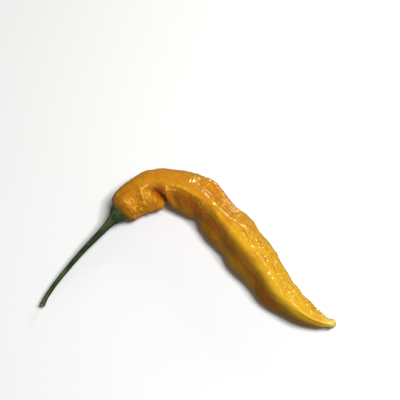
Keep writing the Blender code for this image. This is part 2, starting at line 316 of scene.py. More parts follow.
@dataclass(frozen=True)
class Crinkles:
    """Fine wrinkles over one stretch and side of the pod.

    The pattern's size is along down the pod and across round it.
    """

    start: float
    end: float
    angle: float
    spread: float
    height: float
    along: float
    across: float
    grain: Grain
    seed: float
    fade: float = 5.0
    # How far slower noise carries the pattern about, how slow it is, and its own place in noise
    sway: float = 0.6
    sway_share: float = 0.45
    sway_seed: float = 7.0
    # Below this share of their height the wrinkles are left out
    least: float = 0.01

    def relief(self, s: Values, theta: Values, radius: Values) -> Values:
        """Height of the wrinkles at distances s and angles theta, in millimetres."""
        mask = faded(s, self.start, self.end, self.fade)
        mask *= bell(angle_from(theta, self.angle), self.spread)
        near = mask > self.least
        far, high = (radius * np.cos(theta))[near], (radius * np.sin(theta))[near]
        places = np.column_stack((s[near] / self.along, far / self.across, high / self.across))
        places += self.seed
        places += self.sway * noise_at(places * self.sway_share + self.sway_seed)[:, None]
        height = np.zeros(len(s))
        height[near] = self.height * mask[near] * self.grain_at(places)
        return height

    def grain_at(self, places: Values) -> Values:
        """This field's grain at each row of places, from about -0.5 to 0.5."""
        if self.grain is Grain.PADS:
            return pads_at(places) - 0.5
        if self.grain is Grain.CREASES:
            return FOLDED_NOISE_SHARE * np.abs(noise_at(places)) - 0.5
        return noise_at(places)


# The upper lobe's crest: its angle at each distance
CREST_LINE = ((0.0, 100.0), (15.0, 140.0), (30.0, 123.0), (44.0, 107.0), (95.0, 106.0), (118.0, 126.0))

# The lines that edge the pod's flattened sides: an angle, or a rounding, at each distance
BODY_CREST = (
    (25.0, 121.0),
    (31.0, 112.0),
    (38.0, 112.0),
    (44.0, 106.0),
    (48.0, 101.0),
    (53.0, 108.0),
    (62.0, 111.0),
    (72.0, 109.0),
    (80.0, 109.0),
    (88.0, 111.0),
    (95.0, 129.0),
    (101.0, 142.0),
    (106.0, 150.0),
    (114.0, 156.0),
)
BODY_ROUNDING = ((21.0, 0.35), (64.0, 0.35), (90.0, 0.90), (113.0, 1.10))
NECK_ROUNDING = ((3.0, 0.5), (22.0, 0.5))
BODY_FOOT = ((25.0, 204.0), (114.0, 204.0))
NECK_BROW = ((2.0, 62.0), (9.0, 74.0), (15.0, 88.0), (22.0, 96.0))
NECK_FOOT = ((2.0, 200.0), (22.0, 206.0))
# The flattened sides: start, end, first and last edge, swell, share, rounding
FACES = (
    Face(21.0, 113.0, BODY_CREST, BODY_FOOT, 0.35, 0.75, BODY_ROUNDING),
    Face(3.0, 22.0, NECK_BROW, NECK_FOOT, 0.10, 0.55, NECK_ROUNDING),
)

# Ridges and furrows along the pod: start, end, first angle, last angle, rise, spread
RIDGES = (
    Ridge(30.0, 112.0, 112.0, 110.0, 0.30, 12.0),
    Ridge(33.0, 61.0, 72.0, 70.0, -0.85, 12.0),
    Ridge(34.0, 60.0, 38.0, 30.0, 0.85, 12.0),
    Ridge(58.0, 100.0, 80.0, 80.0, -0.30, 9.0),
    Ridge(1.0, 19.0, 38.0, 92.0, -0.40, 11.0),
    Ridge(58.0, 104.0, 58.0, 60.0, 0.40, 10.0),
    Ridge(40.0, 108.0, 228.0, 236.0, -0.35, 12.0),
)
# Folds and creases across it: place, angle, rise, width, spread, slant
NECK_FOLDS = (
    Fold(4.6, 128.0, 0.30, 0.8, 30.0, 0.0),
    Fold(7.4, 138.0, 0.30, 0.9, 26.0, 0.01),
    Fold(11.8, 112.0, 0.80, 1.0, 34.0, -0.023),
    Fold(15.4, 108.0, -0.55, 1.5, 28.0, -0.07),
    Fold(16.4, 160.0, 0.70, 2.0, 26.0, 0.02),
    Fold(12.2, 192.0, 1.75, 4.2, 34.0, 0.0),
    Fold(18.2, 204.0, 2.00, 3.2, 26.0, 0.0),
    Fold(8.0, 10.0, 0.35, 2.5, 34.0, 0.0),
    Fold(13.3, 10.0, -0.35, 1.6, 34.0, 0.0),
)
KINK_FOLDS = (
    Fold(25.1, 192.0, -2.5, 1.2, 24.0, 0.08),
    Fold(20.0, 164.0, -3.4, 2.6, 24.0, 0.06),
    Fold(17.9, 133.0, -2.7, 2.6, 21.0, 0.03),
    Fold(17.4, 106.0, -0.9, 2.4, 18.0, 0.0),
    Fold(28.8, 186.0, 1.4, 2.6, 30.0, 0.08),
    Fold(24.6, 142.0, 1.2, 2.6, 30.0, 0.03),
    Fold(25.4, 10.0, -0.55, 2.6, 36.0, 0.0),
)
BODY_FOLDS = (
    Fold(33.6, 186.0, 0.80, 3.0, 40.0, 0.0),
    Fold(44.9, 204.0, -1.90, 2.4, 25.0, 0.0),
    Fold(54.4, 192.0, 0.75, 3.4, 36.0, 0.0),
    Fold(63.8, 194.0, -0.65, 2.6, 32.0, 0.0),
    Fold(70.5, 192.0, 0.22, 2.4, 34.0, 0.0),
    Fold(79.0, 194.0, -0.28, 3.2, 34.0, 0.0),
    Fold(38.0, 14.0, 0.60, 2.4, 30.0, 0.0),
    Fold(36.0, 34.0, -0.35, 1.6, 26.0, 0.0),
    Fold(39.9, 40.0, 0.35, 1.3, 26.0, -0.05),
    Fold(58.6, 12.0, 0.75, 3.4, 36.0, 0.0),
    Fold(62.6, 20.0, 0.45, 2.4, 36.0, 0.02),
    Fold(57.4, 52.0, 0.35, 1.1, 30.0, 0.02),
    Fold(72.0, 22.0, 0.35, 2.4, 36.0, 0.0),
    Fold(79.8, 40.0, -0.40, 1.2, 34.0, 0.015),
    Fold(78.0, 12.0, 0.45, 3.0, 34.0, 0.0),
    Fold(99.5, 20.0, -0.60, 2.2, 40.0, 0.0),
    Fold(104.0, 20.0, 0.25, 1.8, 40.0, 0.0),
    Fold(114.0, 210.0, -0.50, 1.6, 50.0, 0.0),
    Fold(114.5, 20.0, -0.50, 2.6, 50.0, 0.0),
    Fold(117.0, 215.0, 0.30, 1.2, 60.0, 0.0),
)

# The finer skin over that form, in the same order, with a ridge's fade last
FINE_FOLDS = (
    Fold(3.4, 150.0, 0.22, 0.45, 26.0, 0.0),
    Fold(5.2, 132.0, 0.20, 0.45, 26.0, 0.006),
    Fold(9.2, 128.0, -0.25, 0.50, 30.0, -0.01),
    Fold(11.9, 118.0, 0.40, 0.45, 26.0, -0.030),
    Fold(13.6, 150.0, 0.24, 0.45, 16.0, 0.010),
    Fold(16.6, 152.0, 0.26, 0.45, 14.0, 0.020),
    Fold(35.6, 34.0, 0.22, 0.40, 16.0, -0.03),
    Fold(37.2, 30.0, 0.22, 0.40, 16.0, -0.03),
    Fold(38.8, 34.0, 0.20, 0.35, 18.0, -0.04),
    Fold(57.4, 50.0, 0.26, 0.40, 24.0, 0.02),
    Fold(60.6, 40.0, 0.22, 0.35, 22.0, 0.02),
    Fold(65.4, 30.0, 0.22, 0.35, 22.0, 0.02),
    Fold(79.8, 44.0, 0.24, 0.40, 24.0, 0.015),
    Fold(97.5, 52.0, 0.26, 0.40, 20.0, 0.0),
    Fold(101.0, 54.0, 0.28, 0.40, 20.0, 0.010),
    Fold(104.6, 58.0, 0.28, 0.40, 20.0, 0.005),
    Fold(108.2, 62.0, 0.26, 0.40, 20.0, 0.010),
    Fold(111.4, 66.0, 0.26, 0.40, 20.0, 0.0),
)
FINE_RIDGES = (
    Ridge(20.0, 31.0, 130.0, 123.0, 0.30, 4.0, 2.5),
    Ridge(24.0, 36.0, 112.0, 104.0, 0.16, 3.0, 3.0),
    Ridge(38.0, 50.0, 30.0, 12.0, 0.24, 3.2, 3.0),
    Ridge(39.0, 48.0, 20.0, 6.0, 0.18, 2.6, 3.0),
    Ridge(44.0, 50.0, 84.0, 96.0, 0.20, 3.0, 2.0),
    Ridge(58.0, 66.0, 78.0, 70.0, 0.20, 3.0, 2.0),
    Ridge(68.0, 92.0, 89.0, 87.0, 0.24, 3.0),
    Ridge(84.0, 104.0, 93.0, 98.0, 0.20, 3.0),
    Ridge(100.0, 117.5, 108.0, 122.0, 0.45, 6.0, 3.0),
    Ridge(104.0, 117.0, 84.0, 92.0, 0.30, 7.0, 3.0),
    Ridge(52.0, 74.0, 100.0, 101.0, 0.18, 3.0),
)
# Start, end, angle, spread, height, size along and across, grain, seed, fade
CRINKLES = (
    Crinkles(56.0, 116.0, 46.0, 40.0, 0.36, 1.50, 1.6, Grain.PADS, 3.1, 8.0),
    Crinkles(58.0, 82.0, 86.0, 16.0, 0.20, 1.10, 1.1, Grain.PADS, 9.7),
    Crinkles(28.0, 60.0, 44.0, 40.0, 0.30, 1.3, 4.2, Grain.CREASES, 27.7),
    Crinkles(1.5, 12.0, 140.0, 60.0, 0.34, 1.6, 3.6, Grain.CREASES, 5.2, 1.5),
    Crinkles(8.0, 24.0, 132.0, 46.0, 0.28, 1.9, 2.2, Grain.CREASES, 15.4, 3.0),
    Crinkles(22.0, 56.0, 108.0, 26.0, 0.22, 1.8, 1.8, Grain.CREASES, 31.9),
    Crinkles(0.0, 118.0, 180.0, 70.0, 0.10, 1.6, 1.4, Grain.SWELLS, 44.1),
)

# Painted light and shade: the skin is painted lighter along its lit crests, and darker on its shaded
# side, in its creases and in its furrows. The rise is the share, and a negative one paints it darker
PAINTED_LIGHT_AND_SHADE_BANDS = (
    Ridge(22.0, 84.0, 108.0, 98.0, 0.60, 14.0, 10.0),
    Ridge(84.0, 117.0, 116.0, 138.0, 0.40, 26.0, 10.0),
    Ridge(24.0, 102.0, 140.0, 152.0, -1.00, 29.0, 12.0),
    Ridge(78.0, 115.0, 182.0, 190.0, -0.90, 34.0, 10.0),
    Ridge(32.0, 66.0, 74.0, 66.0, -0.60, 16.0, 10.0),
    Ridge(36.0, 70.0, 36.0, 34.0, -0.50, 26.0, 10.0),
    Ridge(4.0, 40.0, 40.0, 50.0, -0.20, 26.0),
    Fold(19.8, 158.0, -1.20, 3.4, 32.0, 0.06),
    Fold(18.2, 128.0, -1.10, 2.6, 25.0, 0.03),
    Fold(26.4, 172.0, -1.00, 4.0, 42.0, 0.03),
)


@dataclass(frozen=True)
class Ring:
    """One ring of a straight cage: its distance, half width and half height."""

    at: float
    side: float
    up: float


@dataclass(frozen=True)
class Cage:
    """A straight cage along +X, extruded ring by ring from a circle and closed at both ends."""

    name: str
    sides: int
    rings: tuple[Ring, ...]
    levels: int = 3

    def make(self) -> bpy.types.Object:
        """Models the cage in edit mode and subdivides it.

        Returns:
            The smooth, straight piece, with its place in its mesh.
        """
        first = self.rings[0]
        # Subdividing draws a ring in, and this makes up for it
        swell = 3.0 / (2.0 + math.cos(2.0 * math.pi / self.sides))
        bpy.ops.object.select_all(action="DESELECT")
        bpy.ops.mesh.primitive_circle_add(
            vertices=self.sides,
            radius=MM,
            fill_type="NOTHING",
            location=(first.at * MM, 0.0, 0.0),
            rotation=(0.0, math.pi / 2.0, 0.0),
        )
        piece = bpy.context.object
        piece.name = piece.data.name = self.name
        bpy.ops.object.transform_apply(location=True, rotation=True, scale=True)
        bpy.ops.object.mode_set(mode="EDIT")
        bpy.ops.mesh.select_mode(type="VERT")
        bpy.ops.mesh.select_all(action="SELECT")
        self.resize(first.side * swell, first.up * swell, first.at)
        for last, ring in zip(self.rings, self.rings[1:]):
            step = ((ring.at - last.at) * MM, 0.0, 0.0)
            bpy.ops.mesh.extrude_region_move(TRANSFORM_OT_translate={"value": step})
            self.resize(ring.side / last.side, ring.up / last.up, ring.at)
        bpy.ops.mesh.fill_grid(span=self.sides // 4)
        bpy.ops.mesh.select_non_manifold(extend=False, use_verts=False)
        bpy.ops.mesh.fill_grid(span=self.sides // 4)
        bpy.ops.mesh.select_all(action="SELECT")
        bpy.ops.mesh.normals_make_consistent(inside=False)
        bpy.ops.object.mode_set(mode="OBJECT")
        smooth = piece.modifiers.new("smooth", "SUBSURF")
        smooth.levels = smooth.render_levels = self.levels
        bpy.ops.object.modifier_apply(modifier=smooth.name)
        bpy.ops.object.shade_smooth()
        return piece

    @staticmethod
    def resize(side: float, up: float, at: float) -> None:
        """Resizes the selected ring about the cage's axis."""
        bpy.ops.transform.resize(value=(1.0, side, up), center_override=(at * MM, 0.0, 0.0))


def points_of(piece: bpy.types.Object) -> Values:
    """The piece's points, in millimetres."""
    flat = np.empty(len(piece.data.vertices) * 3, np.float32)
    piece.data.vertices.foreach_get("co", flat)
    return flat.reshape(-1, 3).astype(float) / MM


def keep(piece: bpy.types.Object, name: str, values: Values) -> None:
    """Keeps a number or a vector for each point, for a material to read by name."""
    kind, field = ("FLOAT", "value") if values.ndim == 1 else ("FLOAT_VECTOR", "vector")
    layer = piece.data.attributes.new(name, kind, "POINT")
    layer.data.foreach_set(field, values.astype(np.float32).ravel())


def lay(piece: bpy.types.Object, line: Centreline, straight: Values) -> None:
    """Lays a piece along its centreline, with nothing of it below the floor.

    Args:
        piece: The piece, still straight.
        line: The line to bend it along.
        straight: Its points, in millimetres, with their relief raised.
    """
    points = line.bend(straight)
    points[:, 2] = np.maximum(points[:, 2], 0.0)
    piece.data.vertices.foreach_set("co", (points * MM).astype(np.float32).ravel())
    piece.data.update()


@dataclass(frozen=True)
class Wire:
    """What one node gives out. Python's own operators do sums on it."""

    bench: "NodeBench"
    socket: bpy.types.NodeSocket

    def sum(self, operation: str, first: Any, second: Any) -> "Wire":
        """Adds the Math node for one operation on two values."""
        return self.bench.add("ShaderNodeMath", {"operation": operation}, {0: first, 1: second})

    def __add__(self, other: Any) -> "Wire":
        """This plus other."""
        return self.sum("ADD", self, other)

    def __radd__(self, other: Any) -> "Wire":
        """Other plus this."""
        return self.sum("ADD", other, self)

    def __sub__(self, other: Any) -> "Wire":
        """This less other."""
        return self.sum("SUBTRACT", self, other)

    def __rsub__(self, other: Any) -> "Wire":
        """Other less this."""
        return self.sum("SUBTRACT", other, self)

    def __mul__(self, other: Any) -> "Wire":
        """This times other."""
        return self.sum("MULTIPLY", self, other)

    def __rmul__(self, other: Any) -> "Wire":
        """Other times this."""
        return self.sum("MULTIPLY", other, self)

    def __truediv__(self, other: Any) -> "Wire":
        """This divided by other."""
        return self.sum("DIVIDE", self, other)

    def __rtruediv__(self, other: Any) -> "Wire":
        """Other divided by this."""
        return self.sum("DIVIDE", other, self)


class NodeBench:
    """A material's nodes, and the one way in which a node is added to them."""

    def __init__(self, name: str) -> None:
        """Starts a material that holds one Principled shader."""
        self.material = bpy.data.materials.new(name)
        self.material.use_nodes = True
        self.tree = self.material.node_tree
        self.shader = self.tree.nodes["Principled BSDF"]

    def add(
        self, kind: str, settings: dict | None = None, inputs: dict | None = None, output: Any = 0
    ) -> Wire:
        """Adds one node.

        Args:
            kind: The node's type.
            settings: Its own settings, and a colour ramp's stops under "stops".
            inputs: The value or wire of each socket that is set, by name or number.
            output: The name or number of the socket that is handed back.

        Returns:
            The wire of that socket.
        """
        node = self.tree.nodes.new(kind)
        for name, value in (settings or {}).items():
            if name == "stops":
                self.set_stops(node.color_ramp, value)
            else:
                setattr(node, name, value)
        for name, value in (inputs or {}).items():
            self.connect(node.inputs[name], value)
        return Wire(self, node.outputs[output])

    @staticmethod
    def set_stops(ramp: bpy.types.ColorRamp, stops: tuple[tuple[float, Colour], ...]) -> None:
        """Gives a colour ramp its stops."""
        while len(ramp.elements) < len(stops):
            ramp.elements.new(1.0)
        for element, (place, colour) in zip(ramp.elements, stops):
            element.position = place
            element.color = (*colour, 1.0)

    def connect(self, socket: bpy.types.NodeSocket, value: Any) -> None:
        """Links a wire to a socket, or sets the socket's own value."""
        if isinstance(value, Wire):
            self.tree.links.new(value.socket, socket)
        elif socket.type == "RGBA":
            socket.default_value = (*value, 1.0)
        else:
            socket.default_value = value

    def mix(self, share: Any, first: Any, second: Any) -> Wire:
        """Mixes two colours, with share of the second."""
        # Its colour sockets share their names with others, so they go by number
        return self.add("ShaderNodeMix", {"data_type": "RGBA"}, {0: share, 6: first, 7: second}, 2)

    def ramp(self, value: Wire, *stops: tuple[float, Colour]) -> Wire:
        """A colour read from stops by a value."""
        return self.add("ShaderNodeValToRGB", {"stops": stops}, {0: value})

    def span(self, value: Wire, low: float, high: float) -> Wire:
        """Turns low to high into 0 to 1, smoothly, and stays there past the ends."""
        settings = {"interpolation_type": "SMOOTHSTEP"}
        return self.add("ShaderNodeMapRange", settings, {0: value, 1: low, 2: high})

    def attribute(self, name: str, output: str) -> Wire:
        """What the mesh keeps for each point under a name."""
        return self.add("ShaderNodeAttribute", {"attribute_name": name}, None, output)

    def stretched(self, vector: Wire, share: tuple[float, float, float]) -> Wire:
        """A vector with each part multiplied by a share."""
        return self.add("ShaderNodeVectorMath", {"operation": "MULTIPLY"}, {0: vector, 1: share})

    def grain(self, vector: Wire, scale: float, detail: float = 2.0, roughness: float = 0.5) -> Wire:
        """Cloudy noise from 0 to 1."""
        inputs = {"Vector": vector, "Scale": scale, "Detail": detail, "Roughness": roughness}
        return self.add("ShaderNodeTexNoise", {"noise_dimensions": "3D"}, inputs, 0)

    def cells(self, vector: Wire, scale: float) -> Wire:
        """Distance to the nearest of many scattered points."""
        return self.add("ShaderNodeTexVoronoi", {"feature": "F1"}, {"Vector": vector, "Scale": scale}, 0)

    def bumped(self, height: Wire, depth: float) -> Wire:
        """A normal tilted by a height of 0 to 1, whose full height is depth in millimetres."""
        return self.add("ShaderNodeBump", None, {"Height": height, "Distance": depth * MM})

    def shade(self, sockets: dict[str, Any]) -> bpy.types.Material:
        """Sets or links the shader's sockets, and hands back the finished material."""
        for name, value in sockets.items():
            self.connect(self.shader.inputs[name], value)
        return self.material


@dataclass(frozen=True)
class PepperSkin:
    """Thin, waxy skin, orange at the shoulder, golden down the body and greenish at the tip."""

    length: float
    shoulder: Colour = (0.50, 0.192, 0.008)
    orange: Colour = (0.56, 0.234, 0.009)
    golden: Colour = (0.61, 0.312, 0.013)
    yellow: Colour = (0.67, 0.395, 0.020)
    tip: Colour = (0.78, 0.680, 0.160)
    # Deep rust-orange for random streaks and pores, and painted shade on the shaded side and in creases
    rust_and_shade: Colour = (0.40, 0.085, 0.004)
    # Paler mottle at random, and painted highlights on the wrinkles' tops
    pale: Colour = (0.80, 0.510, 0.045)
    # Painted highlight along the lit crests
    painted_highlight: Colour = (0.78, 0.450, 0.016)
    gloss_tint: Colour = (1.0, 0.94, 0.66)
    roughness: float = 0.16
    bump_depth: float = 0.10
    flesh_glow: float = 0.35
    flesh_reach: Colour = (1.0, 0.36, 0.08)
    flesh_depth: float = 2.2

    def material(self) -> bpy.types.Material:
        """Builds the skin's nodes and hands back the material."""
        bench = NodeBench("pepper_skin")
        place = bench.attribute(STRAIGHT, "Vector")
        relief = bench.attribute(RELIEF, "Fac")
        # How much light or shade is painted on the skin at each point
        painted_light_and_shade = bench.attribute(PAINTED_LIGHT_AND_SHADE, "Fac")
        down = bench.add("ShaderNodeSeparateXYZ", None, {0: place}, "X") / self.length
        cloud = bench.grain(place, 0.11, 3.0, 0.55)
        streak = bench.grain(bench.stretched(place, (0.10, 0.75, 0.75)), 1.0, 3.0, 0.6)
        mottle = bench.grain(place, 0.75, 3.0, 0.6)
        pore = bench.cells(place, 1.9)
        along = down + 0.10 * (cloud - 0.5)
        colour = bench.ramp(
            along,
            (0.0, self.shoulder),
            (0.12, self.orange),
            (0.38, self.orange),
            (0.52, self.golden),
            (0.80, self.yellow),
            (0.94, self.yellow),
            (0.985, self.tip),
        )
        # Each layer's share, where it lies and its colour
        layers = (
            # Painted highlight: paler along the lit crests
            (1.00, bench.span(painted_light_and_shade, 0.0, 1.4), self.painted_highlight),
            # Painted shade: deeper on the shaded side, in the creases and in the furrows
            (0.85, bench.span(0.0 - painted_light_and_shade, 0.0, 1.4), self.rust_and_shade),
            (0.40, bench.span(cloud, 0.50, 0.68), self.shoulder),
            (0.35, bench.span(streak, 0.50, 0.72), self.rust_and_shade),
            (0.30, bench.span(mottle, 0.52, 0.75), self.pale),
            # Painted shade in the wrinkles' creases
            (0.30, bench.span(0.0 - relief, 0.05, 0.24), self.rust_and_shade),
            # Painted highlights on the wrinkles' tops
            (0.45, bench.span(relief, 0.05, 0.24), self.pale),
            (0.10, 1.0 - bench.span(pore, 0.05, 0.30), self.rust_and_shade),
        )
        for share, mask, tint in layers:
            colour = bench.mix(share * mask, colour, tint)
        ripple = bench.grain(place, 1.3, 1.0, 0.4)
        height = 0.5 * ripple + 0.15 * bench.span(pore, 0.0, 0.35) + 0.5 * mottle
        return bench.shade(
            {
                "Base Color": colour,
                "Roughness": self.roughness + 0.10 * (mottle - 0.5),
                "Specular IOR Level": 0.5,
                "Specular Tint": self.gloss_tint,
                "Coat Weight": 0.06 + 0.10 * bench.span(cloud, 0.35, 0.65),
                "Normal": bench.bumped(height, self.bump_depth),
                "IOR": 1.47,
                "Coat Roughness": 0.10,
                "Subsurface Weight": self.flesh_glow,
                "Subsurface Radius": self.flesh_reach,
                "Subsurface Scale": self.flesh_depth * MM,
            }
        )


@dataclass(frozen=True)
class StalkGreen:
    """Smooth green rind with paler ribs, greyish at the calyx's rim and tan at the cut end."""

    length: float
    deep: Colour = (0.011, 0.022, 0.006)
    leaf: Colour = (0.032, 0.058, 0.018)
    pale: Colour = (0.100, 0.145, 0.070)
    rim: Colour = (0.150, 0.150, 0.060)
    cut: Colour = (0.230, 0.215, 0.110)
    roughness: float = 0.42
    bump_depth: float = 0.10
    rind_glow: float = 0.06
    rind_reach: Colour = (0.4, 1.0, 0.2)
    rind_depth: float = 0.8

    def material(self) -> bpy.types.Material:
        """Builds the rind's nodes and hands back the material."""
        bench = NodeBench("green_stalk")
        place = bench.attribute(STRAIGHT, "Vector")
        relief = bench.attribute(RELIEF, "Fac")
        down = bench.add("ShaderNodeSeparateXYZ", None, {0: place}, "X")
        stripe = bench.grain(bench.stretched(place, (0.10, 1.6, 1.6)), 1.0, 3.0, 0.6)
        cloud = bench.grain(place, 0.35, 3.0, 0.55)
        fine = bench.grain(bench.stretched(place, (0.6, 3.0, 3.0)), 1.4, 2.0)
        colour = bench.mix(bench.span(cloud, 0.35, 0.65), self.deep, self.leaf)
        colour = bench.mix(0.75 * bench.span(stripe, 0.48, 0.66), colour, self.pale)
        colour = bench.mix(0.60 * bench.span(relief, 0.0, 0.9), colour, self.leaf)
        colour = bench.mix(0.80 * (1.0 - bench.span(down, -1.2, 0.6)), colour, self.rim)
        colour = bench.mix(bench.span(down, self.length - 0.7, self.length - 0.1), colour, self.cut)
        return bench.shade(
            {
                "Base Color": colour,
                "Roughness": self.roughness + 0.25 * (cloud - 0.5),
                "Normal": bench.bumped(0.6 * fine + 0.4 * stripe, self.bump_depth),
                "IOR": 1.45,
                "Coat Weight": 0.12,
                "Coat Roughness": 0.3,
                "Subsurface Weight": self.rind_glow,
                "Subsurface Radius": self.rind_reach,
                "Subsurface Scale": self.rind_depth * MM,
            }
        )


@dataclass(frozen=True)
class PaleFloor:
    """Matt, off-white paint with a faint cloudiness."""

    light: Colour = (0.84, 0.86, 0.90)
    dull: Colour = (0.81, 0.83, 0.87)
    scale: float = 9.0
    roughness: float = 0.85

    def material(self) -> bpy.types.Material:
        """Builds the paint's nodes and hands back the material."""
        bench = NodeBench("pale_paint")
        place = bench.add("ShaderNodeTexCoord", None, None, "Object")
        colour = bench.mix(bench.grain(place, self.scale, 3.0), self.light, self.dull)
        return bench.shade({"Base Color": colour, "Roughness": self.roughness})


@dataclass(frozen=True)
class Pod:
    """The fleshy pod, from its base under the calyx to its blunt tip."""

    line: Centreline = Centreline(POD_STATIONS)
    sides: int = 24
    rings: int = 56
    # Where rings crowd together: how many more there are, as a share, and over what distance
    base_crowd: Pair = (5.0, 1.6)
    tip_crowd: Pair = (4.0, 1.2)
    crowd_steps: int = 2000
    # How far the first and the last ring stay from the two poles
    base_inset: float = 0.06
    tip_inset: float = 0.04
    base_dome: float = 4.0
    base_squareness: float = 2.2
    tip_dome: float = 2.2
    tip_squareness: float = 2.0
    lobes: int = 3
    lobe_share: float = 0.085
    wrinkle_height: float = 0.30
    wrinkle_along: float = 2.1
    wrinkle_across: float = 6.5
    wrinkle_angle: float = 35.0
    wrinkle_spread: float = 50.0
    wrinkle_least: float = 0.2
    dimple_height: float = 0.30
    dimple_size: float = 7.0
    # Under the calyx the skin is smooth to this distance, and rough from three times as far
    seat: float = 1.0

    def cage(self) -> Cage:
        """The straight cage, with its rings closer together at the two rounded ends."""
        length = self.line.length()
        fine = np.linspace(0.0, length, self.crowd_steps)
        density = np.ones(self.crowd_steps)
        for place, (extra, reach) in ((0.0, self.base_crowd), (length, self.tip_crowd)):
            density += extra * bell(fine - place, reach)
        share = np.cumsum(density)
        share = (share - share[0]) / (share[-1] - share[0])
        at = np.interp(np.linspace(0.0, 1.0, self.rings), share, fine)
        at[0], at[-1] = self.base_inset, length - self.tip_inset
        end = rounded(at / self.base_dome, self.base_squareness)
        end *= rounded((length - at) / self.tip_dome, self.tip_squareness)
        side, up = self.line.radii(at)
        rings = tuple(Ring(*row) for row in np.column_stack((at, side * end, up * end)).tolist())
        return Cage("pod_flesh", self.sides, rings)

    def form(self, s: Values, theta: Values, radius: Values) -> Values:
        """Height of the lobes, flat sides, ridges, folds and wrinkles that the solid has."""
        turned = np.radians(self.lobes * angle_from(theta, read_line(CREST_LINE, s)))
        height = self.lobe_share * radius * np.cos(turned)
        for face in FACES:
            height += face.relief(s, theta, radius, height)
        far, high = radius * np.cos(theta), radius * np.sin(theta)
        across = self.wrinkle_across
        crossing = noise_at(np.column_stack((s / self.wrinkle_along, far / across, high / across)))
        rough = bell(angle_from(theta, self.wrinkle_angle), self.wrinkle_spread)
        rough = self.wrinkle_least + (1.0 - self.wrinkle_least) * rough
        height += self.wrinkle_height * rough * crossing
        height += self.dimple_height * noise_at(np.column_stack((s, far, high)) / self.dimple_size)
        shapes = RIDGES + NECK_FOLDS + KINK_FOLDS + BODY_FOLDS
        return height + sum(shape.relief(s, theta) for shape in shapes)

    def skin(self, s: Values, theta: Values, radius: Values) -> Values:
        """Height of the finer folds, lines and crinkles that lie over that form."""
        height = sum(shape.relief(s, theta) for shape in FINE_FOLDS + FINE_RIDGES)
        return height + sum(field.relief(s, theta, radius) for field in CRINKLES)

    def build(self) -> bpy.types.Object:
        """Models the pod and dresses it.

        Returns:
            The finished piece, which stands for the pod's solid.
        """
        piece = self.cage().make()
        points = points_of(piece)
        s = np.clip(points[:, 0], 0.0, self.line.length())
        half_width, half_height = self.line.radii(s)
        theta = np.arctan2(points[:, 2] / half_height, points[:, 1] / half_width)
        radius = (half_width + half_height) / 2.0
        clear = smooth_step(s, self.seat, 3.0 * self.seat)
        skin = self.skin(s, theta, radius) * clear
        swollen = 1.0 + (self.form(s, theta, radius) * clear + skin) / radius
        keep(piece, STRAIGHT, np.column_stack((s, radius * np.cos(theta), radius * np.sin(theta))))
        keep(piece, RELIEF, skin)
        # Painted light and shade: lighter along the lit crests, darker on the shaded side and in the
        # creases
        keep(piece, PAINTED_LIGHT_AND_SHADE, sum(band.relief(s, theta) for band in PAINTED_LIGHT_AND_SHADE_BANDS))
        points[:, 1:] *= swollen[:, None]
        lay(piece, self.line, points)
        piece.data.materials.append(PepperSkin(self.line.length()).material())
        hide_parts("pod")
        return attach(piece, "root")


